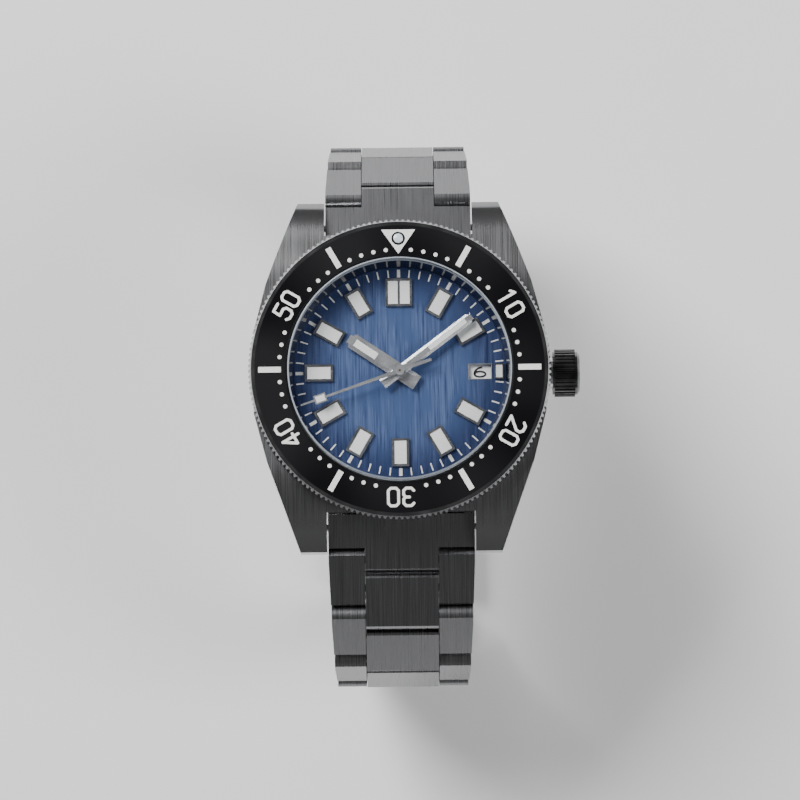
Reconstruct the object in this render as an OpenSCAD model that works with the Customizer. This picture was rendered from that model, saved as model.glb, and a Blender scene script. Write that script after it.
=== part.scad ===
// Self-winding dive watch on a three-row steel bracelet, closed as it is worn.
// Dial faces +Z, 12 o'clock is +Y, the crown is +X, and the clasp rests on Z = 0.

/* [Case] */
// Diameter of the knurled bezel and of the case under it
case_d = 40.5; // [40:0.1:41]
// Length from lug tip to lug tip
lug_to_lug = 47.6; // [47:0.1:48.5]
// Gap between a pair of lugs
lug_gap = 20; // [19.8:0.1:20.2]

/* [Bezel] */
// Grip teeth around the bezel
bezel_teeth = 168; // [120:6:180]
// Outer diameter of the black insert
insert_d = 38.8; // [38.6:0.1:39]

/* [Time shown] */
// Hour hand, degrees clockwise from 12
hour_angle = 304; // [0:1:359]
// Minute hand, degrees clockwise from 12
minute_angle = 53; // [0:1:359]
// Seconds hand, degrees clockwise from 12
seconds_angle = 251; // [0:1:359]

/* [Crown] */
// Diameter of the crown over its ridges
crown_d = 6.4; // [6:0.1:6.6]
// Ridges around the crown
crown_ridges = 32; // [24:2:40]

/* [Bracelet] */
// Distance between two bracelet pivots
pitch = 8; // [7.9:0.05:8.1]
// Thickness of a link
link_t = 3; // [2.8:0.1:3.1]
// Width of the centre links
centre_w = 9.8; // [9:0.1:10]
// Width of the bracelet at the lugs
width_at_lugs = 19.7; // [19.3:0.1:19.7]
// Width of the bracelet at the clasp
width_at_clasp = 16.2; // [16:0.1:16.4]

/* [Hidden] */
$fn = 72;

// Bracelet route: each link's slope below the horizontal, from the lugs down
slopes_12 = [49, 68, 92, 118, 138, 156];
slopes_6 = [22, 50, 78, 101, 120, 139];
end_slope = 20;
hinge_y = 24.6;
clasp_pivot_z = 3.8;

function total(list, count) = count <= 0 ? 0 : list[count - 1] + total(list, count - 1);
function drop_to(slopes, i) = pitch * total([for (a = slopes) sin(a)], i);
function reach_to(slopes, i) = hinge_y + pitch * total([for (a = slopes) cos(a)], i);

hinge_z = clasp_pivot_z + drop_to(slopes_12, 6);
clasp_y12 = reach_to(slopes_12, 6);
clasp_y6 = -reach_to(slopes_6, 6);
clasp_z6 = hinge_z - drop_to(slopes_6, 6);

// Link joints
knuckle_r = 1.8;
knuckle_gap = 0.15;
face_u = knuckle_r + knuckle_gap;
side_gap = 0.1;
pin_r = 0.5;
pin_bore_r = 0.53;
pin_short = 0.4;
link_chamfer = 0.25;

// Heights in the case, counted up from the underside of the case back
base_z = hinge_z - 1.6;
case_top = 8.6;
dial_z = 7.3;
dial_t = 0.4;
crystal_z = 10;
crystal_r = 15;
neck_top = 10.55;
insert_z = 10.65;
insert_t = 0.55;
insert_in_r = 15.25;
stem_z = 4.9;
cavity_r = 14.6;
plate_z = 4.4;
plate_top = 6.1;
plate_r = 13.6;
wheel_z = 3.7;
wheel_t = 0.22;
bridge_z = 3;
bridge_t = 0.5;
hour_z = 7.95;
minute_z = 8.5;
seconds_z = 9.1;
lug_bar_u = 4.4;
lug_bar_y = hinge_y - lug_bar_u * cos(end_slope);
lug_bar_z = hinge_z + lug_bar_u * sin(end_slope);

// Where the wheels stand on the main plate
barrel_at = [-5.2, 5.6];
third_at = [4.6, 3.2];
escape_at = [5.2, -3.4];
pallet_at = [2.4, -6.4];
balance_at = [-4.2, -7.2];
cock_foot_at = [-10.3, -4.8];

steel = [0.55, 0.56, 0.58];
dark_steel = [0.4, 0.41, 0.43];
brass = [0.78, 0.64, 0.36];
black = [0.03, 0.03, 0.035];
white = [0.92, 0.93, 0.9];
rubber = [0.08, 0.08, 0.08];
dial_blue = [0.12, 0.2, 0.4];

// ---- general shapes ----

module at_base() {
    translate([0, 0, base_z]) children();
}

module ring(outer, inner, low, high) {
    translate([0, 0, low])
        difference() {
            cylinder(r = outer, h = high - low);
            translate([0, 0, -1]) cylinder(r = inner, h = high - low + 2);
        }
}

// A shape drawn in (Y, Z), given a width along X about the middle
module across(width, middle = 0) {
    translate([middle - width / 2, 0, 0])
        rotate([90, 0, 90])
            linear_extrude(width) children();
}

module rod_x(radius, length) {
    rotate([0, 90, 0]) cylinder(r = radius, h = length, center = true);
}

// Gear-like outline with flat-topped teeth
function tooth_points(teeth, tip_r, root_r) = [
    for (i = [0 : teeth - 1], k = [0 : 3])
        let (a = 360 * (i + [0, 0.28, 0.5, 0.78][k]) / teeth, r = k < 2 ? tip_r : root_r)
            [r * cos(a), r * sin(a)]
];

module toothed_disc(teeth, tip_r, root_r, low, high) {
    translate([0, 0, low])
        linear_extrude(high - low)
            polygon(tooth_points(teeth, tip_r, root_r));
}

// ---- case ----

module case_outline() {
    tip_x = 13.6;
    flank = [[tip_x, lug_to_lug / 2], [17.9, 12], [19.6, 5.5]];
    circle(r = case_d / 2 - 0.25);
    polygon([
        for (p = flank) p,
        for (i = [2 : -1 : 0]) [flank[i][0], -flank[i][1]],
        for (p = flank) [-p[0], -p[1]],
        for (i = [2 : -1 : 0]) [-flank[i][0], flank[i][1]]
    ]);
}

// Side view of the case: flat in the middle, its top an arc down to each lug tip
module case_side_view() {
    tip_y = lug_to_lug / 2;
    flat_y = 12.5;
    fall = case_top - 3.8;
    curve_r = ((tip_y - flat_y) * (tip_y - flat_y) + fall * fall) / (2 * fall);
    half = [[tip_y, case_top], [tip_y, 0.9], [tip_y - 0.7, 0.15], [21.5, 0.35], [18, 1.2], [flat_y, 1.2]];
    intersection() {
        polygon([
            for (p = half) p,
            for (i = [len(half) - 1 : -1 : 0]) [-half[i][0], half[i][1]]
        ]);
        union() {
            translate([-flat_y, 0]) square([2 * flat_y, case_top]);
            for (s = [-1, 1])
                translate([s * flat_y, case_top - curve_r]) circle(r = curve_r);
        }
    }
}

// Polished facet along the outer edge of each lug
module lug_facets() {
    facet_at = [15.75, 17.9, 6.6];
    flank_turn = 20;
    lug_fall = 24;
    facet_slope = 48;
    cutter = [6, 28, 8];
    for (sx = [0, 1], sy = [0, 1])
        mirror([sx, 0, 0]) mirror([0, sy, 0])
            translate(facet_at)
                rotate([0, 0, flank_turn])
                    rotate([lug_fall, 0, 0])
                        rotate([0, facet_slope, 0])
                            translate([0, -cutter[1] / 2, 0]) cube(cutter);
}

module mid_case() {
    color(steel)
        at_base()
            difference() {
                union() {
                    difference() {
                        intersection() {
                            linear_extrude(case_top) case_outline();
                            across(60) case_side_view();
                        }
                        lug_facets();
                        for (s = [-1, 1])
                            translate([-lug_gap / 2, s > 0 ? 18.8 : -30, -1])
                                cube([lug_gap, 11.2, 12]);
                    }
                    translate([0, 0, 2]) cylinder(r = 18.7, h = case_top - 2);
                    translate([0, 0, 8]) cylinder(r = 15.8, h = neck_top - 8);
                }
                translate([0, 0, -1]) cylinder(r = cavity_r, h = dial_z + 1);
                translate([0, 0, -1]) cylinder(r = 16.4, h = 3.3);
                translate([0, 0, dial_z]) cylinder(r = 15.3, h = 5);
                translate([15, 0, stem_z]) rotate([0, 90, 0]) cylinder(r = 2.1, h = 8);
                translate([10, 0, stem_z]) rotate([0, 90, 0]) cylinder(r = 1, h = 8);
                for (s = [-1, 1])
                    translate([0, s * lug_bar_y, lug_bar_z - base_z]) rod_x(0.55, 23);
            }
}

module case_back() {
    color(steel)
        at_base()
            difference() {
                rotate_extrude()
                    polygon([[0, 0], [15.2, 0], [16, 0.5], [16.35, 0.9], [16.35, 2.2],
                             [15.4, 2.2], [15.4, 1.2], [0, 1.2]]);
                for (a = [30 : 60 : 330])
                    rotate([0, 0, a])
                        translate([14.4, -1.1, -1]) cube([3, 2.2, 1.6]);
            }
}

module gaskets() {
    color(rubber)
        at_base() {
            ring(15.35, 14.75, 1.25, 2.15);
            ring(15.27, 15.03, crystal_z + 0.05, neck_top - 0.15);
        }
}

module crown_tube() {
    color(steel)
        at_base()
            translate([15.2, 0, stem_z])
                rotate([0, 90, 0])
                    difference() {
                        cylinder(r = 2.08, h = 6.6);
                        translate([0, 0, -1]) cylinder(r = 1, h = 9);
                    }
}

// ---- crystal, dial and markers ----

module crystal() {
    dome = 0.75;
    dome_r = (crystal_r * crystal_r + dome * dome) / (2 * dome);
    color([0.85, 0.9, 0.95, 0.25])
        at_base()
            difference() {
                intersection() {
                    translate([0, 0, crystal_z])
                        rotate_extrude()
                            polygon([[0, 0], [crystal_r, 0], [crystal_r, 1.9], [14.6, 2.3], [14.3, 4], [0, 4]]);
                    translate([0, 0, crystal_z + 2.9 - dome_r]) sphere(r = dome_r);
                }
                translate([0, 0, crystal_z + 0.7 - dome_r]) sphere(r = dome_r);
            }
}

module rehaut_ring() {
    color(dark_steel)
        at_base()
            rotate_extrude()
                polygon([[14.25, dial_z + 0.02], [14.3, dial_z + 0.3], [14.8, crystal_z - 0.05],
                         [15.26, crystal_z - 0.05], [15.26, dial_z + 0.02]]);
}

module dial() {
    color(dial_blue)
        at_base()
            difference() {
                ring(14.5, 1, dial_z - dial_t, dial_z);
                translate([9.3, -0.97, dial_z - 1]) cube([3, 1.94, 2]);
            }
}

marker_in = 8.95;
marker_len = 3.8;
marker_w = 2.3;
marker_h = 0.42;
lume_len = 3.15;
lume_w = 1.65;
marker_12_w = 3.55;
lume_12_w = 1.35;
lume_12_x = 0.8;
marker_3_in = 12.75;
marker_3_len = 1.2;
marker_3_w = 2.1;
lume_3_in = 12.9;
lume_3_len = 0.9;
lume_3_w = 1.7;

// Places each child at an hour, its own +Y pointing outward
module at_hours(hours) {
    for (h = hours)
        rotate([0, 0, -30 * h]) children();
}

plain_hours = [1, 2, 4, 5, 6, 7, 8, 9, 10, 11];

module marker_block(width, length, from_r, low, high) {
    translate([-width / 2, from_r, low]) cube([width, length, high - low]);
}

module hour_markers() {
    edge = (marker_len - lume_len) / 2;
    color(steel)
        at_base() {
            at_hours(plain_hours)
                difference() {
                    marker_block(marker_w, marker_len, marker_in, dial_z, dial_z + marker_h);
                    marker_block(lume_w, lume_len, marker_in + edge, dial_z + 0.1, dial_z + 2);
                }
            difference() {
                marker_block(marker_12_w, marker_len, marker_in, dial_z, dial_z + marker_h);
                for (s = [-1, 1])
                    translate([s * lume_12_x, 0, 0])
                        marker_block(lume_12_w, lume_len, marker_in + edge, dial_z + 0.1, dial_z + 2);
            }
            at_hours([3])
                difference() {
                    marker_block(marker_3_w, marker_3_len, marker_3_in, dial_z, dial_z + marker_h);
                    marker_block(lume_3_w, lume_3_len, lume_3_in, dial_z + 0.1, dial_z + 2);
                }
        }
}

module marker_lume() {
    edge = (marker_len - lume_len) / 2;
    inset = 0.02;
    low = dial_z + 0.1;
    high = dial_z + marker_h - 0.05;
    color(white)
        at_base() {
            at_hours(plain_hours)
                marker_block(lume_w - inset, lume_len - inset, marker_in + edge + inset / 2, low, high);
            for (s = [-1, 1])
                translate([s * lume_12_x, 0, 0])
                    marker_block(lume_12_w - inset, lume_len - inset, marker_in + edge + inset / 2, low, high);
            at_hours([3])
                marker_block(lume_3_w - inset, lume_3_len - inset, lume_3_in + inset / 2, low, high);
        }
}

// ---- bezel ----

module bezel_ring() {
    rim_r = case_d / 2;
    tooth_depth = 0.28;
    color(steel)
        at_base()
            difference() {
                intersection() {
                    toothed_disc(bezel_teeth, rim_r, rim_r - tooth_depth, case_top + 0.1, insert_z + insert_t);
                    rotate_extrude()
                        polygon([[0, 8], [19.9, 8], [20.6, 9], [20.6, 10.35], [19.75, 11.35], [19, 11.6], [0, 11.6]]);
                }
                cylinder(r = 15.9, h = 20);
                translate([0, 0, insert_z]) cylinder(r = insert_d / 2, h = 5);
                ring(18.7, 17.2, case_top, case_top + 0.9);
            }
}

module bezel_insert() {
    top = insert_z + insert_t;
    color(black)
        at_base()
            rotate_extrude()
                polygon([[insert_in_r, insert_z], [insert_d / 2, insert_z], [insert_d / 2, top],
                         [insert_in_r + 0.15, top], [insert_in_r, top - 0.15]]);
}

mark_t = 0.05;
digit_r = 17.3;
digit_x = 1.02;
digit_stroke = 0.37;
dot_r = 0.28;
dot_ring_r = 16.1;
bar_w = 0.76;
bar_from = 15.85;
bar_len = 3.05;
pip_ring_r = 17.6;
pip_hole_r = 0.9;

// A stroke with round ends between two points
module stroke(a, b, w) {
    d = b - a;
    translate(a)
        rotate([0, 0, atan2(d[1], d[0])])
            translate([0, -w / 2]) square([norm(d), w]);
    for (end = [a, b])
        translate(end) circle(d = w, $fn = 20);
}

module strokes(points, w) {
    for (i = [0 : len(points) - 2])
        stroke(points[i], points[i + 1], w);
}

// Digits are strokes in a box 1.35 wide and 2.35 high, drawn about its middle
function digit_points(d) =
    d == 0 ? [[-0.35, -1.18], [0.35, -1.18], [0.68, -0.85], [0.68, 0.85], [0.35, 1.18],
              [-0.35, 1.18], [-0.68, 0.85], [-0.68, -0.85], [-0.35, -1.18]] :
    d == 1 ? [[-0.45, 0.75], [0.05, 1.18], [0.05, -1.18]] :
    d == 2 ? [[-0.68, 0.8], [-0.35, 1.18], [0.35, 1.18], [0.68, 0.85], [0.68, 0.35],
              [-0.68, -1.18], [0.68, -1.18]] :
    d == 3 ? [[-0.68, 0.85], [-0.35, 1.18], [0.35, 1.18], [0.68, 0.85], [0.68, 0.3], [0.4, 0.02],
              [-0.1, 0.02], [0.4, 0.02], [0.68, -0.3], [0.68, -0.85], [0.35, -1.18],
              [-0.35, -1.18], [-0.68, -0.85]] :
    d == 4 ? [[0.35, -1.18], [0.35, 1.18], [-0.72, -0.5], [0.75, -0.5]] :
             [[0.62, 1.18], [-0.55, 1.18], [-0.62, 0.15], [0.35, 0.2], [0.68, -0.1],
              [0.68, -0.85], [0.35, -1.18], [-0.35, -1.18], [-0.68, -0.85]];

module bezel_number(tens) {
    translate([-digit_x, digit_r]) strokes(digit_points(tens), digit_stroke);
    translate([digit_x, digit_r]) strokes(digit_points(0), digit_stroke);
}

module bezel_marks_plan() {
    for (m = [5 : 10 : 55])
        rotate([0, 0, -6 * m]) translate([-bar_w / 2, bar_from]) square([bar_w, bar_len]);
    for (m = [1 : 59])
        if (m % 5 != 0 && (m < 5 || m > 55 || abs((m % 10) - 5) < 4))
            rotate([0, 0, -6 * m]) translate([0, dot_ring_r]) circle(r = dot_r, $fn = 24);
    for (t = [1 : 5])
        rotate([0, 0, -60 * t]) bezel_number(t);
    difference() {
        polygon([[-2.3, 18.8], [2.3, 18.8], [0, 15.5]]);
        translate([0, pip_ring_r]) circle(r = pip_hole_r, $fn = 32);
    }
}

module bezel_markings() {
    color(white)
        at_base()
            translate([0, 0, insert_z + insert_t])
                linear_extrude(mark_t) bezel_marks_plan();
}

module bezel_pip() {
    color([0.8, 0.84, 0.9])
        at_base()
            translate([0, pip_ring_r, insert_z + insert_t])
                rotate_extrude()
                    polygon([[0, 0], [0.88, 0], [0.88, 0.1], [0.68, 0.1], [0.6, 0.22], [0.35, 0.32], [0, 0.35]]);
}

module click_spring() {
    color(steel)
        at_base()
            translate([0, 0, case_top])
                rotate([0, 0, 150])
                    rotate_extrude(angle = 60)
                        translate([17.45, 0]) square([0.9, 0.5]);
}

// ---- crown ----

module crown() {
    r = crown_d / 2;
    color(steel)
        at_base()
            translate([20.6, 0, stem_z])
                rotate([0, 90, 0])
                    difference() {
                        union() {
                            toothed_disc(crown_ridges, r, r - 0.22, 0.25, 3);
                            cylinder(r = r - 0.3, h = 3.3);
                            translate([0, 0, 3.3]) cylinder(r1 = r - 0.3, r2 = r - 0.7, h = 0.3);
                        }
                        translate([0, 0, -1]) cylinder(r = 2.4, h = 3.1);
                    }
}

module winding_stem() {
    color(steel)
        at_base()
            translate([4, 0, stem_z])
                rotate([0, 90, 0])
                    difference() {
                        cylinder(r = 0.55, h = 18.7);
                        ring(1, 0.33, 6, 6.8);
                    }
}

// The lever's pin sits in the stem's groove, so it slides with the stem
module setting_lever() {
    color(steel)
        at_base() {
            translate([10.4, 0.75, stem_z - 0.4]) cylinder(r = 0.32, h = 1.05);
            translate([9, 0.4, stem_z + 0.6]) cube([2.4, 0.8, 0.25]);
        }
}

// ---- hands and motion work ----

module point_at(angle) {
    rotate([0, 0, -angle]) children();
}

// Straight hand with a flat crest and sloping flanks
module hand_bar(w, crest, from_r, to_r, low, t) {
    translate([0, to_r, low])
        rotate([90, 0, 0])
            linear_extrude(to_r - from_r)
                polygon([[-w / 2, 0], [w / 2, 0], [w / 2, t * 0.35], [crest / 2, t],
                         [-crest / 2, t], [-w / 2, t * 0.35]]);
}

module hand_tip_cut(w, to_r, low) {
    for (s = [-1, 1])
        translate([s * w * 0.25, to_r, low - 0.5])
            rotate([0, 0, -s * 32])
                translate([s > 0 ? 0 : -3, 0, 0]) cube([3, 2, 2]);
}

hour_lume_from = 3.7;
hour_lume_to = 7.2;
minute_lume_from = 5;
minute_lume_to = 11.2;

module hour_hand() {
    color(steel)
        at_base()
            point_at(hour_angle)
                difference() {
                    union() {
                        hand_bar(2.1, 1.1, -2.8, 8.2, hour_z, 0.26);
                        translate([0, 0, hour_z]) cylinder(r = 1.15, h = 0.26);
                    }
                    hand_tip_cut(2.1, 7.95, hour_z);
                    translate([0, 0, hour_z - 1]) cylinder(r = 0.85, h = 3);
                    translate([-0.5, hour_lume_from, hour_z - 1])
                        cube([1, hour_lume_to - hour_lume_from, 3]);
                }
}

module hour_hand_lume() {
    color(white)
        at_base()
            point_at(hour_angle)
                translate([-0.49, hour_lume_from + 0.01, hour_z + 0.03])
                    cube([0.98, hour_lume_to - hour_lume_from - 0.02, 0.2]);
}

module hour_wheel() {
    color(brass)
        at_base() {
            ring(0.84, 0.56, plate_top + 0.1, hour_z + 0.2);
            difference() {
                toothed_disc(40, 2.4, 2.15, plate_top + 0.08, plate_top + 0.28);
                translate([0, 0, 5]) cylinder(r = 0.84, h = 4);
            }
        }
}

module minute_hand() {
    color(steel)
        at_base()
            point_at(minute_angle)
                difference() {
                    union() {
                        hand_bar(1.4, 0.7, -2.9, 12.2, minute_z, 0.24);
                        translate([0, 0, minute_z]) cylinder(r = 0.95, h = 0.24);
                    }
                    hand_tip_cut(1.4, 11.95, minute_z);
                    translate([0, 0, minute_z - 1]) cylinder(r = 0.5, h = 3);
                    translate([-0.32, minute_lume_from, minute_z - 1])
                        cube([0.64, minute_lume_to - minute_lume_from, 3]);
                }
}

module minute_hand_lume() {
    color(white)
        at_base()
            point_at(minute_angle)
                translate([-0.31, minute_lume_from + 0.01, minute_z + 0.03])
                    cube([0.62, minute_lume_to - minute_lume_from - 0.02, 0.19]);
}

module cannon_pinion() {
    color(brass)
        at_base()
            ring(0.49, 0.26, plate_top - 0.9, minute_z + 0.2);
}

module seconds_hand() {
    hub_r = 0.62;
    color(steel)
        at_base()
            point_at(seconds_angle)
                difference() {
                    union() {
                        translate([0, 0, seconds_z])
                            linear_extrude(0.14)
                                polygon([[-0.2, -4.5], [0.2, -4.5], [0.25, 0], [0.12, 14], [-0.12, 14], [-0.25, 0]]);
                        translate([-0.6, 10.45, seconds_z]) cube([1.2, 1.65, 0.16]);
                        translate([0, 0, seconds_z - 0.15]) cylinder(r = hub_r, h = 0.45);
                    }
                    translate([-0.42, 10.63, seconds_z - 1]) cube([0.84, 1.29, 3]);
                    translate([0, 0, seconds_z - 1]) cylinder(r = 0.16, h = 1.3);
                }
}

module seconds_lume() {
    color(white)
        at_base()
            point_at(seconds_angle)
                translate([-0.41, 10.64, seconds_z + 0.02]) cube([0.82, 1.27, 0.12]);
}

// ---- movement ----

module movement_ring() {
    color(steel)
        at_base()
            difference() {
                ring(14.5, 13.7, 3, dial_z - dial_t - 0.02);
                translate([10, 0, stem_z]) rotate([0, 90, 0]) cylinder(r = 1.1, h = 8);
            }
}

module main_plate() {
    color(steel)
        at_base()
            difference() {
                ring(plate_r, 1.1, plate_z, plate_top);
                translate([3.5, -1.5, plate_z - 1]) cube([12, 3, 2.4]);
                for (p = [barrel_at, third_at, escape_at, pallet_at, balance_at])
                    translate([p[0], p[1], plate_z - 1]) cylinder(r = 0.33, h = 2.2);
            }
}

module train_bridge() {
    color(steel)
        at_base() {
            difference() {
                translate([0, 0, bridge_z]) cylinder(r = 13.3, h = bridge_t);
                translate([-6.8, -7.4, 0]) cylinder(r = 7.4, h = 9);
                for (p = [barrel_at, third_at, escape_at, pallet_at])
                    translate([p[0], p[1], 0]) cylinder(r = 0.33, h = 9);
                cylinder(r = 0.33, h = 9);
            }
            for (p = [[11.6, 4.8], [-11.9, 2.2], [10.3, -7], [2.5, 11.8]])
                translate([p[0], p[1], bridge_z + bridge_t]) cylinder(r = 0.7, h = plate_z - bridge_z - bridge_t);
        }
}

module balance_cock() {
    arm = cock_foot_at - balance_at;
    color(steel)
        at_base() {
            difference() {
                translate([balance_at[0], balance_at[1], bridge_z - 0.1])
                    linear_extrude(0.5)
                        union() {
                            circle(r = 1.2);
                            rotate([0, 0, atan2(arm[1], arm[0])])
                                translate([0, -1.1]) square([norm(arm), 2.2]);
                            translate(arm) circle(r = 1.15);
                        }
                translate([balance_at[0], balance_at[1], 0]) cylinder(r = 0.33, h = 9);
            }
            translate([cock_foot_at[0], cock_foot_at[1], bridge_z + 0.4])
                cylinder(r = 1.1, h = plate_z - bridge_z - 0.4);
        }
}

module rotor_bearing() {
    color(steel)
        at_base()
            ring(1.2, 0.4, 1.5, bridge_z);
}

// A train wheel: toothed rim, crossings and its arbor
module train_wheel(at, r, teeth, low, arbor_low, arbor_high) {
    translate([at[0], at[1], 0]) {
        difference() {
            toothed_disc(teeth, r, r - 0.16, low, low + wheel_t);
            for (a = [0 : 90 : 270])
                rotate([0, 0, a])
                    translate([r * 0.48, 0, 0]) cylinder(r = r * 0.2, h = 9);
        }
        translate([0, 0, arbor_low]) cylinder(r = 0.28, h = arbor_high - arbor_low);
    }
}

module fourth_wheel() {
    color(brass)
        at_base() {
            train_wheel([0, 0], 2.6, 40, wheel_z, bridge_z + 0.05, wheel_z + 0.6);
            translate([0, 0, wheel_z]) cylinder(r = 0.15, h = seconds_z + 0.3 - wheel_z);
        }
}

module mainspring_barrel() {
    color(brass)
        at_base()
            translate([barrel_at[0], barrel_at[1], 0]) {
                toothed_disc(72, 4.8, 4.6, wheel_z - 0.02, wheel_z + 0.2);
                translate([0, 0, wheel_z + 0.1]) cylinder(r = 4.3, h = 0.45);
                translate([0, 0, bridge_z + 0.05]) cylinder(r = 0.28, h = 2.3);
            }
}

module third_wheel() {
    color(brass)
        at_base()
            train_wheel(third_at, 2.7, 48, wheel_z, bridge_z + 0.05, plate_z + 0.9);
}

module escape_wheel() {
    color(steel)
        at_base()
            train_wheel(escape_at, 2, 15, wheel_z, bridge_z + 0.05, plate_z + 0.9);
}

module pallet_fork() {
    color(steel)
        at_base()
            translate([pallet_at[0], pallet_at[1], 0]) {
                translate([0, 0, wheel_z - 0.05])
                    linear_extrude(0.16)
                        polygon([[1.6, 0.7], [2, 0.35], [0.5, -0.35], [-2.2, -0.35], [-2.6, -0.6],
                                 [-2.6, 0.25], [-2.2, 0], [-0.4, 0.1], [-0.3, 1.1], [0.1, 1.1], [0.4, 0.2]]);
                translate([0, 0, bridge_z + 0.05]) cylinder(r = 0.28, h = 2.2);
            }
}

module balance_wheel() {
    rim_low = wheel_z + 0.2;
    color(brass)
        at_base()
            translate([balance_at[0], balance_at[1], 0]) {
                ring(3.9, 3.4, rim_low, rim_low + 0.3);
                translate([-3.5, -0.25, rim_low]) cube([7, 0.5, 0.2]);
                translate([0, 0, bridge_z + 0.1]) cylinder(r = 0.28, h = 2.2);
            }
}

// Flat spiral: turns of thin ring joined by a short step
module hairspring() {
    low = wheel_z - 0.12;
    step = 0.4;
    color([0.25, 0.3, 0.5])
        at_base()
            translate([balance_at[0], balance_at[1], low])
                linear_extrude(0.14)
                    for (i = [0 : 4]) {
                        difference() {
                            circle(r = 0.5 + i * step);
                            circle(r = 0.4 + i * step);
                        }
                        if (i < 4)
                            rotate([0, 0, 75 * i])
                                translate([0.42 + i * step, -0.05]) square([step + 0.05, 0.1]);
                    }
}

module date_ring() {
    color(white)
        at_base()
            difference() {
                ring(12.9, 9, 6.55, 6.78);
                for (i = [0 : 30])
                    rotate([0, 0, 360 * (i + 0.5) / 31])
                        translate([8.95, 0, 6]) cylinder(r = 0.35, h = 2);
            }
}

module rotor() {
    color(steel)
        at_base() {
            ring(2.6, 1.24, 1.9, 2.5);
            difference() {
                ring(13.3, 2.5, 2.1, 2.4);
                translate([-20, 0, 0]) cube([40, 20, 9]);
                for (a = [215, 325])
                    rotate([0, 0, a]) translate([6.3, 0, 0]) cylinder(r = 1.7, h = 9);
            }
            difference() {
                ring(13.3, 10.2, 1.55, 2.8);
                translate([-20, -1, 0]) cube([40, 30, 9]);
            }
        }
}

// ---- bracelet ----

function width_at(i) = width_at_lugs + (width_at_clasp - width_at_lugs) * i / 6;

// Carries its children to link i's own frame: Y along the link, Z away from the wrist
module link_place(slopes, i) {
    translate([0, reach_to(slopes, i), hinge_z - drop_to(slopes, i)])
        rotate([-slopes[i], 0, 0]) children();
}

module knuckle_plan() {
    intersection() {
        circle(r = knuckle_r);
        square([2 * knuckle_r, link_t], center = true);
    }
}

// Side view of a piece with a round knuckle at 0 and a flat end at far_u
module knuckle_piece_plan(far_u) {
    h = link_t / 2;
    c = link_chamfer;
    s = sign(far_u);
    knuckle_plan();
    polygon([[0, -h], [far_u - s * c, -h], [far_u, -h + c], [far_u, h - c], [far_u - s * c, h], [0, h]]);
}

module bracelet_link(slopes, i) {
    w0 = width_at(i);
    w1 = width_at(i + 1);
    color(steel)
        link_place(slopes, i) {
            // outer pieces, pivoting on the link before
            intersection() {
                difference() {
                    across(w0) knuckle_piece_plan(pitch - face_u);
                    cube([centre_w + 2 * side_gap, 60, 10], center = true);
                    rod_x(pin_bore_r, 30);
                    translate([0, pitch / 2, 0]) rod_x(pin_bore_r, 30);
                }
                translate([0, 0, -5])
                    linear_extrude(10)
                        polygon([[-w0 / 2, -3], [w0 / 2, -3], [w0 / 2, 0], [w1 / 2, pitch],
                                 [-w1 / 2, pitch], [-w0 / 2, 0]]);
            }
            // centre piece, reaching into the link after
            difference() {
                translate([0, pitch, 0]) across(centre_w) knuckle_piece_plan(face_u - pitch);
                translate([0, pitch / 2, 0]) rod_x(pin_bore_r, 30);
                translate([0, pitch, 0]) rod_x(pin_bore_r, 30);
            }
            rod_x(pin_r, w0 - pin_short);
            translate([0, pitch / 2, 0]) rod_x(pin_r, (w0 + w1) / 2 - pin_short);
        }
}

module link_12(i) {
    bracelet_link(slopes_12, i - 1);
}

module link_6(i) {
    mirror([0, 1, 0]) bracelet_link(slopes_6, i - 1);
}

// Solid end link, shaped to the case between the lugs
module end_link_shape() {
    root_u = 8.6;
    color(steel)
        difference() {
            translate([0, hinge_y, hinge_z])
                rotate([-end_slope, 0, 0])
                    difference() {
                        union() {
                            across(centre_w) knuckle_piece_plan(-root_u);
                            for (s = [-1, 1])
                                across((width_at_lugs - centre_w) / 2 + 0.05,
                                       s * (width_at_lugs + centre_w - 0.1) / 4)
                                    translate([-root_u, -link_t / 2])
                                        square([root_u - face_u, link_t]);
                        }
                        rod_x(pin_bore_r, 30);
                    }
            translate([-15, -1, base_z - 5]) cube([30, 19.9, 20]);
            translate([0, 0, base_z - 5]) cylinder(r = 18.9, h = 20);
            translate([0, lug_bar_y, lug_bar_z]) rod_x(0.93, 30);
        }
}

module end_link_12() {
    end_link_shape();
}

module end_link_6() {
    mirror([0, 1, 0]) end_link_shape();
}

module spring_bars() {
    color(steel)
        for (s = [-1, 1])
            translate([0, s * lug_bar_y, lug_bar_z]) {
                rod_x(0.9, 19.4);
                rod_x(0.5, 22.2);
            }
}

// ---- clasp ----

cover_w = 16.6;
cover_wall = 1;
cover_left = clasp_y12 - 40.17;
blade_w = 9;
blade_t = 0.8;
blade_1_z = 2.3;
blade_2_z = 3.4;
blade_hinge_1 = [clasp_y12 - 38.97, 2.5];
blade_knuckle_r = 0.8;
blade_hinge_2 = [clasp_y12 - 6.27, 3.25];
lock_axis = [clasp_y12 - 31.87, 0.6];
button_y = clasp_y12 - 28.27;
button_z = 3;
button_r = 1.1;
ear_in = centre_w / 2 + 0.15;
ear_w = 1.5;
notch_w = 2 * (ear_in + ear_w) + 0.5;

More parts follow.
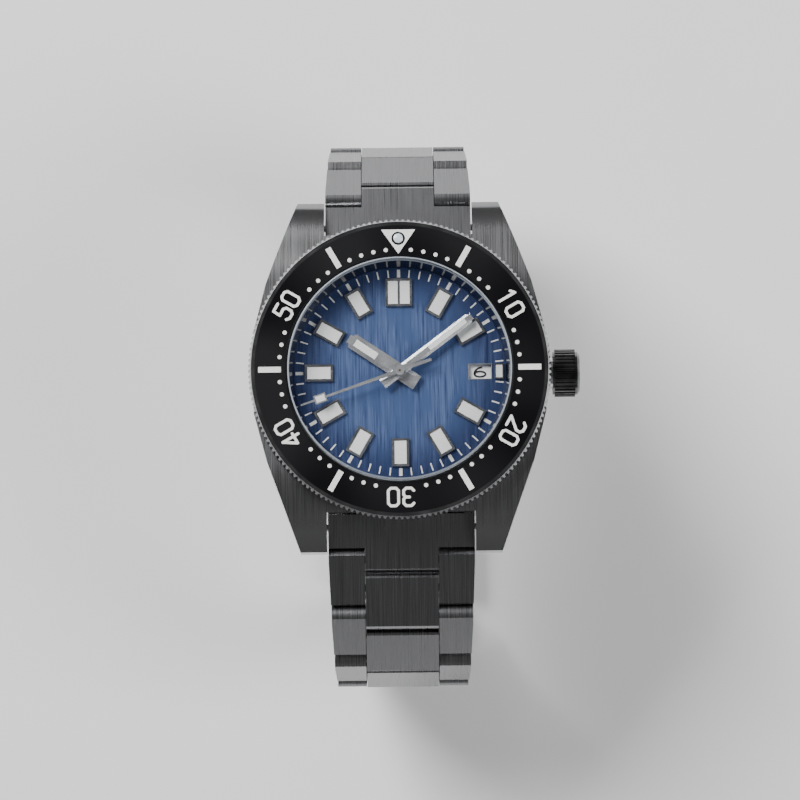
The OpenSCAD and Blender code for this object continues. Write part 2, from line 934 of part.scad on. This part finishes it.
module clasp_cover() {
    wall_x = cover_w / 2 - cover_wall;
    high = 4.9;
    color(steel) {
        difference() {
            across(cover_w)
                polygon([[cover_left, 1.35], [lock_axis[0] + 0.85, 1.35], [lock_axis[0] + 0.85, 0],
                         [clasp_y12 - 3.27, 0], [clasp_y12 - 0.5, 1.2], [clasp_y12 - 0.5, high - 0.4],
                         [clasp_y12 - 0.9, high], [cover_left + 0.8, high], [cover_left, high - 0.8]]);
            translate([-wall_x, cover_left - 1, 2.05]) cube([2 * wall_x, clasp_y12 - face_u - cover_left - 1, 5]);
            translate([-wall_x, lock_axis[0] + 1.7, 1]) cube([2 * wall_x, clasp_y12 - face_u - lock_axis[0] - 3.7, 5]);
            translate([0, clasp_y12, clasp_pivot_z]) rod_x(face_u, 2 * ear_in);
            translate([-ear_in, clasp_y12 - face_u, 1]) cube([2 * ear_in, 5, 8]);
            translate([-notch_w / 2, cover_left - 1, 0]) cube([notch_w, 3.4, 5]);
            translate([0, blade_hinge_1[0], blade_hinge_1[1]]) rod_x(0.43, 30);
            translate([0, clasp_y12, clasp_pivot_z]) rod_x(pin_bore_r, 30);
            translate([0, button_y, button_z]) rod_x(button_r + 0.05, 30);
        }
        // ears around the last centre link, with its pivot pin
        for (s = [-1, 1])
            difference() {
                across(ear_w, s * (ear_in + ear_w / 2))
                    translate([clasp_y12, clasp_pivot_z]) knuckle_ear_plan();
                translate([0, clasp_y12, clasp_pivot_z]) rod_x(pin_bore_r, 30);
            }
        translate([0, clasp_y12, clasp_pivot_z]) rod_x(pin_r, 2 * (ear_in + ear_w) - pin_short);
        translate([0, blade_hinge_1[0], blade_hinge_1[1]]) rod_x(0.4, cover_w - pin_short);
    }
}

module knuckle_ear_plan() {
    circle(r = 1.5);
    translate([-2.4, -1.5]) square([2.4, 3]);
}

module clasp_blade_1() {
    color(steel) {
        difference() {
            union() {
                translate([-blade_w / 2, blade_hinge_1[0], blade_1_z])
                    cube([blade_w, blade_hinge_2[0] - blade_hinge_1[0] - 1.1, blade_t]);
                translate([0, blade_hinge_1[0], blade_hinge_1[1]]) rod_x(blade_knuckle_r, blade_w);
                for (s = [-1, 1])
                    translate([s * 3.4, 0, 0]) {
                        translate([0, blade_hinge_2[0], blade_hinge_2[1]]) rod_x(0.95, 2.2);
                        translate([-1.1, blade_hinge_2[0] - 2, blade_1_z]) cube([2.2, 2, blade_t]);
                    }
            }
            translate([0, blade_hinge_1[0], blade_hinge_1[1]]) rod_x(0.43, 30);
            translate([0, blade_hinge_2[0], blade_hinge_2[1]]) rod_x(0.43, 30);
        }
        translate([0, blade_hinge_2[0], blade_hinge_2[1]]) rod_x(0.4, blade_w - pin_short);
    }
}

module clasp_blade_2() {
    fork_y = clasp_y6;
    root_y = blade_hinge_1[0] - 1;
    color(steel)
        difference() {
            union() {
                translate([-blade_w / 2, root_y, blade_2_z])
                    cube([blade_w, blade_hinge_2[0] - root_y - 1.1, blade_t]);
                translate([-2.2, blade_hinge_2[0] - 1.5, blade_2_z]) cube([4.4, 1.5, blade_t]);
                translate([0, blade_hinge_2[0], blade_hinge_2[1]]) rod_x(0.95, 4.4);
                // fork around the last centre link: the loop's open pivot
                translate([-ear_in - ear_w, root_y, blade_2_z]) cube([2 * (ear_in + ear_w), 1.5, blade_t]);
                for (s = [-1, 1])
                    across(ear_w, s * (ear_in + ear_w / 2)) {
                        translate([fork_y, clasp_z6]) circle(r = 1.5);
                        translate([fork_y, blade_2_z - 0.4]) square([root_y + 1.5 - fork_y, blade_t + 0.4]);
                    }
            }
            translate([0, fork_y, clasp_z6]) rod_x(pin_bore_r, 30);
            translate([0, blade_hinge_2[0], blade_hinge_2[1]]) rod_x(0.43, 30);
        }
}

module release_button(s) {
    color(steel)
        translate([s * (cover_w / 2 - 1.9), button_y, button_z])
            rotate([0, s * 90, 0]) {
                cylinder(r = button_r, h = 2.4);
                translate([0, 0, 2.4]) cylinder(r1 = button_r, r2 = button_r - 0.2, h = 0.2);
            }
}

module button_left() {
    release_button(-1);
}

module button_right() {
    release_button(1);
}

module safety_lock() {
    t = 1.2;
    color(steel)
        difference() {
            union() {
                translate([-cover_w / 2, cover_left - 0.2, 0]) cube([cover_w, lock_axis[0] - cover_left + 0.2, t]);
                translate([0, lock_axis[0], lock_axis[1]]) rod_x(t / 2, cover_w);
            }
            translate([-notch_w / 2, cover_left - 1, -1]) cube([notch_w, 3.4, 5]);
        }
}

mid_case();
case_back();
gaskets();
crown_tube();
crystal();
rehaut_ring();
dial();
hour_markers();
marker_lume();
movement_ring();
main_plate();
train_bridge();
balance_cock();
rotor_bearing();
end_link_12();
end_link_6();
spring_bars();
click_spring();
bezel_ring();
bezel_insert();
bezel_markings();
bezel_pip();
crown();
winding_stem();
setting_lever();
hour_hand();
hour_hand_lume();
hour_wheel();
minute_hand();
minute_hand_lume();
cannon_pinion();
seconds_hand();
seconds_lume();
fourth_wheel();
date_ring();
rotor();
mainspring_barrel();
third_wheel();
escape_wheel();
pallet_fork();
balance_wheel();
hairspring();
link_12(1);  // link_12_1
link_12(2);  // link_12_2
link_12(3);  // link_12_3
link_12(4);  // link_12_4
link_12(5);  // link_12_5
link_12(6);  // link_12_6
link_6(1);  // link_6_1
link_6(2);  // link_6_2
link_6(3);  // link_6_3
link_6(4);  // link_6_4
link_6(5);  // link_6_5
link_6(6);  // link_6_6
clasp_cover();
clasp_blade_1();
clasp_blade_2();
button_left();
button_right();
safety_lock();
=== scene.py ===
import math

import bmesh
import bpy
from mathutils import Matrix, Vector


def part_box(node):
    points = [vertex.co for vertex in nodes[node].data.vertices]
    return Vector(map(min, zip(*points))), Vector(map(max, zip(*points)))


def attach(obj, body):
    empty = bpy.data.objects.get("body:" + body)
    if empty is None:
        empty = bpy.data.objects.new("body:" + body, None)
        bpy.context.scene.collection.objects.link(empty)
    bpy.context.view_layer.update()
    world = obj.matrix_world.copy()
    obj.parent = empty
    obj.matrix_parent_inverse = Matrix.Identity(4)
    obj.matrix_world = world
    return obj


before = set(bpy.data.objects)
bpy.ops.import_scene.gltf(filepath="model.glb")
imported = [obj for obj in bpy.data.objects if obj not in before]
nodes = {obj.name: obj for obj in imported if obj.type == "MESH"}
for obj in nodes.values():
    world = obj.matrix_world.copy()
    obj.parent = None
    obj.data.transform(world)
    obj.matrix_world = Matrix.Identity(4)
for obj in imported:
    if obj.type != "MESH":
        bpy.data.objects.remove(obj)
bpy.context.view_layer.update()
MM = 0.001

# ---- sizes, read off the frame ----

DIAL_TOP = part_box("dial")[1].z
INSERT_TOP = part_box("bezel_insert")[1].z
DATE_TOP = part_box("date_ring")[1].z

# The date window in the dial, from its inner to its outer end, and half its height
WINDOW_IN = 9.3 * MM
WINDOW_OUT = 12.3 * MM
WINDOW_HALF = 0.97 * MM


# ---- materials ----

def node_of(tree, kind, place, **values):
    node = tree.nodes.new(kind)
    node.location = place
    for key, value in values.items():
        setattr(node, key, value)
    return node


def object_noise(tree, stretch, scale, detail=4):
    """Noise in the piece's own coordinates, stretched by a scale along each axis."""
    coords = node_of(tree, "ShaderNodeTexCoord", (-1100, 0))
    mapping = node_of(tree, "ShaderNodeMapping", (-900, 0))
    mapping.inputs["Scale"].default_value = stretch
    noise = node_of(tree, "ShaderNodeTexNoise", (-700, 0))
    noise.inputs["Scale"].default_value = scale
    noise.inputs["Detail"].default_value = detail
    tree.links.new(coords.outputs["Object"], mapping.inputs["Vector"])
    tree.links.new(mapping.outputs["Vector"], noise.inputs["Vector"])
    return noise


def ramp(tree, factor, stops, place=(-480, 120)):
    """A colour ramp from (position, colour) stops."""
    node = node_of(tree, "ShaderNodeValToRGB", place)
    while len(node.color_ramp.elements) < len(stops):
        node.color_ramp.elements.new(0.5)
    for element, (position, colour) in zip(node.color_ramp.elements, stops):
        element.position = position
        element.color = (*colour, 1)
    tree.links.new(factor, node.inputs["Fac"])
    return node


def surface(name, dark, light, roughness, stretch=(1, 1, 1), scale=900, bump=0.02,
            metallic=0.0, coat=0.0, spread=0.3, detail=4):
    """A material whose colour, roughness and bump follow one stretched noise."""
    material = bpy.data.materials.new(name)
    material.use_nodes = True
    tree = material.node_tree
    shader = tree.nodes["Principled BSDF"]
    shader.inputs["Metallic"].default_value = metallic
    shader.inputs["Coat Weight"].default_value = coat
    noise = object_noise(tree, stretch, scale, detail)
    half = spread / 2
    colour = ramp(tree, noise.outputs["Fac"], [(0.5 - half, dark), (0.5 + half, light)])
    tree.links.new(colour.outputs["Color"], shader.inputs["Base Color"])
    rough = node_of(tree, "ShaderNodeMapRange", (-480, -120))
    rough.inputs["From Min"].default_value = 0.3
    rough.inputs["From Max"].default_value = 0.7
    rough.inputs["To Min"].default_value = roughness * 0.8
    rough.inputs["To Max"].default_value = roughness * 1.2
    tree.links.new(noise.outputs["Fac"], rough.inputs["Value"])
    tree.links.new(rough.outputs["Result"], shader.inputs["Roughness"])
    relief = node_of(tree, "ShaderNodeBump", (-260, -300))
    relief.inputs["Strength"].default_value = bump
    relief.inputs["Distance"].default_value = 0.02 * MM
    tree.links.new(noise.outputs["Fac"], relief.inputs["Height"])
    tree.links.new(relief.outputs["Normal"], shader.inputs["Normal"])
    return material


def brushed(name, dark, light, stretch, roughness=0.3):
    return surface(name, dark, light, roughness, stretch, 1, 0.12, metallic=1, spread=0.7, detail=3)


LENGTHWISE = (14000, 90, 90)
CROSSWISE = (150, 9000, 9000)

link_steel = brushed("steel_brushed_lengthwise", (0.2, 0.202, 0.208), (0.29, 0.292, 0.3), LENGTHWISE)
back_steel = brushed("steel_brushed_back", (0.4, 0.41, 0.42), (0.6, 0.61, 0.62), CROSSWISE, 0.27)
blade_steel = brushed("steel_brushed_blades", (0.24, 0.245, 0.255), (0.36, 0.365, 0.375), LENGTHWISE, 0.32)
plate_steel = brushed("steel_plate_striped", (0.5, 0.5, 0.49), (0.7, 0.7, 0.68), (1800, 90, 90), 0.22)
polished = surface("steel_polished", (0.58, 0.59, 0.61), (0.66, 0.67, 0.69), 0.09, scale=400, metallic=1)
dark_polished = surface("steel_dark_polished", (0.18, 0.18, 0.185), (0.25, 0.25, 0.255), 0.14,
                        scale=400, metallic=1)
bezel_steel = surface("steel_bezel", (0.36, 0.365, 0.375), (0.46, 0.465, 0.475), 0.16, scale=400, metallic=1)
# the crown is plain steel; its near-black colour is painted shade, standing in for the shadow and dark
# surroundings it reflects
crown_steel_painted_shade = surface("steel_crown_painted_shade", (0.11, 0.11, 0.115), (0.2, 0.2, 0.205), 0.2, scale=700, metallic=1)
brass = surface("brass_satin", (0.62, 0.46, 0.2), (0.78, 0.61, 0.32), 0.25, scale=1500, metallic=1)
blued = surface("blued_spring", (0.03, 0.06, 0.2), (0.06, 0.1, 0.3), 0.2, scale=1500, metallic=1)
hand_steel = surface("steel_hands", (0.6, 0.61, 0.63), (0.7, 0.71, 0.73), 0.24, scale=600, metallic=0.75)
rim_steel = surface("steel_marker_rims", (0.2, 0.205, 0.215), (0.3, 0.305, 0.315), 0.25,
                    scale=600, metallic=0.8)
insert_black = surface("insert_gloss_black", (0.003, 0.003, 0.004), (0.006, 0.006, 0.007), 0.28,
                       scale=80, bump=0, detail=0)
insert_black.node_tree.nodes["Principled BSDF"].inputs["Specular IOR Level"].default_value = 0.3
print_white = surface("print_white", (0.74, 0.74, 0.72), (0.86, 0.86, 0.84), 0.4, scale=3500)
lume = surface("lume_white", (0.74, 0.77, 0.74), (0.88, 0.9, 0.87), 0.55, scale=9000, bump=0.3)
date_white = surface("date_white", (0.82, 0.82, 0.8), (0.92, 0.92, 0.9), 0.45, scale=4000)
ink = surface("ink_black", (0.01, 0.01, 0.01), (0.03, 0.03, 0.03), 0.4, scale=4000)
rubber = surface("seal_rubber", (0.012, 0.012, 0.012), (0.03, 0.03, 0.03), 0.7, scale=3000, bump=0.2)


def case_material():
    """Brushed on the flat top, polished where the flanks and lug edges slope."""
    material = brushed("steel_brushed_case", (0.25, 0.252, 0.258), (0.34, 0.342, 0.35), LENGTHWISE, 0.3)
    flat_above, sloping_below, polished_roughness = 0.9, 0.75, 0.08
    tree = material.node_tree
    shader = tree.nodes["Principled BSDF"]
    roughness = shader.inputs["Roughness"].links[0].from_socket
    coords = node_of(tree, "ShaderNodeTexCoord", (-1100, -600))
    split = node_of(tree, "ShaderNodeSeparateXYZ", (-900, -600))
    slope = node_of(tree, "ShaderNodeMapRange", (-700, -600))
    slope.inputs["From Min"].default_value = flat_above
    slope.inputs["From Max"].default_value = sloping_below
    mixed = node_of(tree, "ShaderNodeMix", (-200, -600), data_type="FLOAT")
    mixed.inputs["B"].default_value = polished_roughness
    tree.links.new(coords.outputs["Normal"], split.inputs["Vector"])
    tree.links.new(split.outputs["Z"], slope.inputs["Value"])
    tree.links.new(slope.outputs["Result"], mixed.inputs["Factor"])
    tree.links.new(roughness, mixed.inputs["A"])
    tree.links.new(mixed.outputs["Result"], shader.inputs["Roughness"])
    return material


def distance_from(tree, centre):
    """Distance in plan from a point, in the piece's own coordinates."""
    coords = node_of(tree, "ShaderNodeTexCoord", (-1100, 500))
    flat = node_of(tree, "ShaderNodeVectorMath", (-900, 500), operation="MULTIPLY")
    flat.inputs[1].default_value = (1, 1, 0)
    away = node_of(tree, "ShaderNodeVectorMath", (-700, 500), operation="DISTANCE")
    away.inputs[1].default_value = (*centre, 0)
    tree.links.new(coords.outputs["Object"], flat.inputs[0])
    tree.links.new(flat.outputs["Vector"], away.inputs[0])
    return away.outputs["Value"]


def step_over(tree, value, low, high):
    """0 below low, 1 above high, smooth between."""
    share = node_of(tree, "ShaderNodeMapRange", (-500, 500), interpolation_type="SMOOTHSTEP")
    share.inputs["From Min"].default_value = low
    share.inputs["From Max"].default_value = high
    tree.links.new(value, share.inputs["Value"])
    return share.outputs["Result"]


def colour_by(material, factor):
    """Lets a factor from 0 to 1, in place of the noise, choose between a surface's two colours."""
    tree = material.node_tree
    colour = tree.nodes["Principled BSDF"].inputs["Base Color"].links[0].from_node
    for position, element in enumerate(colour.color_ramp.elements):
        element.position = position
    tree.links.new(factor, colour.inputs["Fac"])


def pip_material():
    """Luminous bead in a dark steel collar."""
    bead, collar_steel = (0.66, 0.72, 0.8), (0.09, 0.09, 0.1)
    material = surface("lume_pip", bead, collar_steel, 0.25, scale=5000, coat=0.8)
    tree = material.node_tree
    low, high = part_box("bezel_pip")
    middle = (low + high) / 2
    radius = (high.x - low.x) / 2
    collar = step_over(tree, distance_from(tree, (middle.x, middle.y)), 0.7 * radius, 0.76 * radius)
    colour_by(material, collar)
    tree.links.new(collar, tree.nodes["Principled BSDF"].inputs["Metallic"])
    return material


def dial_material():
    """Blue lacquer with fine upright grain, darker towards the rim."""
    rim_from, rim_to = 7 * MM, 14.5 * MM
    plain_blue, rim_tint = (0.062, 0.108, 0.25), (0.3, 0.32, 0.42)
    material = surface("dial_blue_grained", (0.03, 0.052, 0.145), (0.125, 0.195, 0.39), 0.35,
                       (4200, 150, 100), 1, 0.12, metallic=0.2, coat=0.15, spread=0.42, detail=7)
    tree = material.node_tree
    shader = tree.nodes["Principled BSDF"]
    colour = shader.inputs["Base Color"].links[0]
    grain = colour.from_node.inputs["Fac"].links[0].from_node
    grain.inputs["Distortion"].default_value = 0.5
    # the grain fades to plain lacquer in broad, uneven patches
    patches = object_noise(tree, (1, 0.5, 1), 330, 2)
    plain = step_over(tree, patches.outputs["Fac"], 0.42, 0.68)
    uneven = node_of(tree, "ShaderNodeMix", (-300, 200), data_type="RGBA")
    uneven.inputs["B"].default_value = (*plain_blue, 1)
    tree.links.new(plain, uneven.inputs["Factor"])
    tree.links.new(colour.from_socket, uneven.inputs["A"])
    share = step_over(tree, distance_from(tree, (0, 0)), rim_from, rim_to)
    rim = node_of(tree, "ShaderNodeMix", (-200, 400), data_type="RGBA", blend_type="MULTIPLY")
    rim.inputs["B"].default_value = (*rim_tint, 1)
    tree.links.new(share, rim.inputs["Factor"])
    tree.links.new(uneven.outputs["Result"], rim.inputs["A"])
    tree.links.new(rim.outputs["Result"], shader.inputs["Base Color"])
    return material


def crystal_material():
    """Thin clear sapphire: mostly see-through, with a pale ring at its edge that is a painted highlight,
    standing in for light caught by the edge chamfer.
    """
    rim_from, rim_to = 14.72 * MM, 14.86 * MM
    clear_alpha, highlight_alpha = 0.06, 0.5
    clear, painted_edge_highlight = (0.012, 0.018, 0.045), (0.6, 0.66, 0.74)
    material = surface("crystal_sapphire", clear, painted_edge_highlight, 0.03, scale=60, bump=0)
    tree = material.node_tree
    # the pale ring near the edge is a painted highlight, where the edge chamfer would catch the light
    rim = step_over(tree, distance_from(tree, (0, 0)), rim_from, rim_to)
    colour_by(material, rim)
    alpha = node_of(tree, "ShaderNodeMapRange", (-200, 300))
    alpha.inputs["To Min"].default_value = clear_alpha
    alpha.inputs["To Max"].default_value = highlight_alpha
    tree.links.new(rim, alpha.inputs["Value"])
    tree.links.new(alpha.outputs["Result"], tree.nodes["Principled BSDF"].inputs["Alpha"])
    material.surface_render_method = "BLENDED"
    return material


# ---- the CAD's own pieces ----

def soften(obj, width_mm):
    """Rounds the piece's sharp edges, as a real edge is."""
    bevel = obj.modifiers.new("edge", "BEVEL")
    bevel.width = width_mm * MM
    bevel.segments = 2
    bevel.limit_method = "ANGLE"
    bevel.angle_limit = math.radians(35)
    bevel.use_clamp_overlap = True
    bevel.harden_normals = True


def dress(names, material, edge_mm=0.0, edge_material=None):
    """Gives CAD pieces their material, a rounded edge and that edge's own material."""
    for name in names:
        obj = nodes[name]
        obj.data.materials.clear()
        obj.data.materials.append(material)
        if edge_mm:
            soften(obj, edge_mm)
        if edge_material:
            obj.data.materials.append(edge_material)
            obj.modifiers["edge"].material = 1


links = [n for n in nodes if n.startswith("link_")]
dress(links + ["end_link_12", "end_link_6"], link_steel, 0.17, polished)
dress(["clasp_cover", "safety_lock"], link_steel, 0.15, polished)
dress(["clasp_blade_1", "clasp_blade_2"], blade_steel, 0.08)
dress(["button_left", "button_right"], polished, 0.1)
dress(["mid_case"], case_material(), 0.12, polished)
dress(["case_back"], back_steel, 0.08)
dress(["bezel_ring"], bezel_steel, 0.05)
dress(["bezel_insert"], insert_black, 0.04)
dress(["bezel_markings"], print_white)
dress(["bezel_pip"], pip_material())
dress(["crown"], crown_steel_painted_shade, 0.06)
dress(["crown_tube", "winding_stem", "spring_bars", "click_spring", "setting_lever"], polished)
dress(["rehaut_ring"], dark_polished)
dress(["hour_markers"], rim_steel, 0.04)
dress(["marker_lume", "hour_hand_lume", "minute_hand_lume", "seconds_lume"], lume)
dress(["hour_hand", "minute_hand", "seconds_hand"], hand_steel, 0.02)
dress(["dial"], dial_material())
dress(["crystal"], crystal_material())
dress(["gaskets"], rubber)
dress(["date_ring"], date_white)
dress(["movement_ring", "main_plate", "train_bridge", "balance_cock", "rotor"], plate_steel, 0.04)
dress(["rotor_bearing", "pallet_fork", "escape_wheel"], polished)
dress(["hour_wheel", "cannon_pinion", "fourth_wheel", "mainspring_barrel", "third_wheel",
       "balance_wheel"], brass)
dress(["hairspring"], blued)


# ---- pieces made here ----

def new_object(name, mesh, material, body):
    """Adds a piece that rides on a body."""
    obj = bpy.data.objects.new(name, mesh)
    bpy.context.scene.collection.objects.link(obj)
    mesh.materials.append(material)
    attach(obj, body)
    return obj


def add_prism(bm, outline, low, high, place):
    """A closed prism over an outline, carried to its place by a matrix."""
    bottom = [bm.verts.new(place @ Vector((x, y, low))) for x, y in outline]
    top = [bm.verts.new(place @ Vector((x, y, high))) for x, y in outline]
    count = len(outline)
    bm.faces.new(list(reversed(bottom)))
    bm.faces.new(top)
    for i in range(count):
        j = (i + 1) % count
        bm.faces.new((bottom[i], bottom[j], top[j], top[i]))


def finish_mesh(bm, name):
    bmesh.ops.recalc_face_normals(bm, faces=bm.faces)
    mesh = bpy.data.meshes.new(name)
    bm.to_mesh(mesh)
    bm.free()
    return mesh


def minute_track():
    """Sixty printed ticks around the dial, broader at each five minutes."""
    bm = bmesh.new()
    inner, outer = 12.95 * MM, 14.0 * MM
    broad_half, fine_half, thickness = 0.22 * MM, 0.09 * MM, 0.02 * MM
    for minute in range(60):
        if minute == 15:  # the 3 o'clock marker stands here
            continue
        half = broad_half if minute % 5 == 0 else fine_half
        outline = [(-half, inner), (half, inner), (half, outer), (-half, outer)]
        place = Matrix.Rotation(-math.radians(6 * minute), 4, "Z")
        add_prism(bm, outline, DIAL_TOP, DIAL_TOP + thickness, place)
    new_object("minute_track", finish_mesh(bm, "minute_track"), print_white, "head")


minute_track()


def ribbon(bm, points, width, low, high, place):
    """A flat line of even width along a few points, as one closed prism."""
    path = [Vector(p) for p in points]
    left, right = [], []
    for i, point in enumerate(path):
        ahead = (path[min(i + 1, len(path) - 1)] - path[max(i - 1, 0)]).normalized()
        side = Vector((-ahead.y, ahead.x)) * width / 2
        left.append(point + side)
        right.append(point - side)
    add_prism(bm, [tuple(p) for p in left + right[::-1]], low, high, place)


def arc(centre, radius, start, end, steps=10):
    """Points along part of an ellipse, its angles in degrees."""
    turns = [math.radians(start + (end - start) * i / steps) for i in range(steps + 1)]
    return [(centre[0] + radius[0] * math.cos(t), centre[1] + radius[1] * math.sin(t)) for t in turns]


def digit_lines(digit):
    """Lines of a plain figure, in a box 0.6 wide and 1 high about its middle."""
    low_loop = arc((0, -0.22), (0.3, 0.28), 90, 450, 18)
    high_loop = arc((0, 0.26), (0.26, 0.24), -90, 270, 18)
    return {
        0: [arc((0, 0), (0.3, 0.5), 90, 450, 20)],
        1: [[(-0.18, 0.3), (0.06, 0.5), (0.06, -0.5)]],
        2: [arc((0, 0.22), (0.3, 0.28), 165, -40, 10) + [(-0.3, -0.5), (0.32, -0.5)]],
        3: [arc((-0.02, 0.25), (0.28, 0.25), 150, -90, 10), arc((-0.02, -0.24), (0.32, 0.26), 90, -150, 10)],
        4: [[(0.14, -0.5), (0.14, 0.5), (-0.32, -0.2), (0.34, -0.2)]],
        5: [[(0.28, 0.5), (-0.22, 0.5), (-0.27, 0.06)], arc((-0.02, -0.18), (0.31, 0.32), 130, -150, 12)],
        6: [low_loop, arc((0.14, -0.2), (0.44, 0.7), 180, 92, 8)],
        7: [[(-0.3, 0.5), (0.3, 0.5), (-0.1, -0.5)]],
        8: [low_loop, high_loop],
        9: [arc((0, 0.22), (0.3, 0.28), 90, 450, 18), arc((-0.14, 0.2), (0.44, 0.7), 0, -88, 8)],
    }[digit]


def date_figures():
    """The 31 days printed around the date ring, with the 6th in the window."""
    bm = bmesh.new()
    shown, height, line, thickness = 6, 1.3 * MM, 0.27 * MM, 0.01 * MM
    single_wide, pair_wide, pair_step = 1.9, 0.9, 0.85
    middle = (WINDOW_IN + WINDOW_OUT) / 2
    for day in range(1, 32):
        turn = Matrix.Rotation(2 * math.pi * (day - shown) / 31, 4, "Z")
        figures = [int(c) for c in str(day)]
        for i, figure in enumerate(figures):
            shift = (i - (len(figures) - 1) / 2) * pair_step * height
            wide = single_wide if len(figures) == 1 else pair_wide
            for points in digit_lines(figure):
                placed = [(middle + shift + x * height * wide, y * height) for x, y in points]
                ribbon(bm, placed, line, DATE_TOP, DATE_TOP + thickness, turn)
    new_object("date_figures", finish_mesh(bm, "date_figures"), ink, "date")


def window_frame():
    """Polished frame around the date window."""
    bm = bmesh.new()
    rim, high = 0.1 * MM, DIAL_TOP + 0.06 * MM
    past = WINDOW_HALF + rim
    sides = [
        (WINDOW_IN - rim, -past, WINDOW_IN, past),
        (WINDOW_OUT, -past, WINDOW_OUT + rim, past),
        (WINDOW_IN, -past, WINDOW_OUT, -WINDOW_HALF),
        (WINDOW_IN, WINDOW_HALF, WINDOW_OUT, past),
    ]
    for x0, y0, x1, y1 in sides:
        add_prism(bm, [(x0, y0), (x1, y0), (x1, y1), (x0, y1)], DIAL_TOP, high, Matrix.Identity(4))
    new_object("window_frame", finish_mesh(bm, "window_frame"), hand_steel, "head")


date_figures()
window_frame()


# ---- floor, light and camera ----

def floor():
    mesh = bpy.data.meshes.new("floor")
    half = 2.5
    corners = [(-half, -half, 0), (half, -half, 0), (half, half, 0), (-half, half, 0)]
    mesh.from_pydata(corners, [], [(0, 1, 2, 3)])
    obj = bpy.data.objects.new("floor", mesh)
    bpy.context.scene.collection.objects.link(obj)
    mesh.materials.append(surface("floor_pale", (0.8, 0.8, 0.8), (0.82, 0.82, 0.82), 0.8, scale=30, bump=0))


def softbox(name, place, target, size, power):
    data = bpy.data.lights.new(name, "AREA")
    data.shape = "RECTANGLE"
    data.size, data.size_y = size
    data.energy = power
    lamp = bpy.data.objects.new(name, data)
    lamp.location = place
    lamp.rotation_euler = (Vector(target) - Vector(place)).to_track_quat("-Z", "Y").to_euler()
    bpy.context.scene.collection.objects.link(lamp)


def lights():
    world = bpy.data.worlds.new("studio")
    bpy.context.scene.world = world
    world.use_nodes = True
    tree = world.node_tree
    background = tree.nodes["Background"]
    coords = node_of(tree, "ShaderNodeTexCoord", (-900, 0))
    split = node_of(tree, "ShaderNodeSeparateXYZ", (-700, 0))
    # bright around the sides and dim overhead, so flat tops read darker than bevels
    shade = ramp(tree, split.outputs["Z"], [(0.0, (0.6,) * 3), (0.5, (0.7,) * 3), (0.9, (0.22,) * 3)])
    tree.links.new(coords.outputs["Generated"], split.inputs["Vector"])
    tree.links.new(shade.outputs["Color"], background.inputs["Color"])
    background.inputs["Strength"].default_value = 0.3
    middle = (0, 0, INSERT_TOP)
    softbox("key", (-0.4, 0.35, 0.6), middle, (0.35, 0.35), 9)
    softbox("fill", (0.55, -0.15, 0.45), middle, (0.3, 0.5), 4)
    softbox("back", (-0.3, 0.7, 0.4), middle, (0.4, 0.2), 1.5)


def camera():
    """Nearly straight down on the dial, leaning a little towards 6 o'clock."""
    elevation = math.radians(82)
    distance = 0.6
    frame_width = 106.7 * MM
    below_centre = 4.24 * MM
    roll = math.radians(-0.66)
    sensor = 36
    data = bpy.data.cameras.new("camera")
    data.sensor_width = sensor
    data.lens = sensor * distance / frame_width
    data.clip_end = 20
    target = Vector((0, -below_centre / math.sin(elevation), INSERT_TOP))
    away = Vector((0, -math.cos(elevation), math.sin(elevation)))
    obj = bpy.data.objects.new("camera", data)
    obj.location = target + away * distance
    aim = away.to_track_quat("Z", "Y").to_matrix().to_4x4()
    obj.rotation_euler = (aim @ Matrix.Rotation(roll, 4, "Z")).to_euler()
    bpy.context.scene.collection.objects.link(obj)
    bpy.context.scene.camera = obj


floor()
lights()
camera()
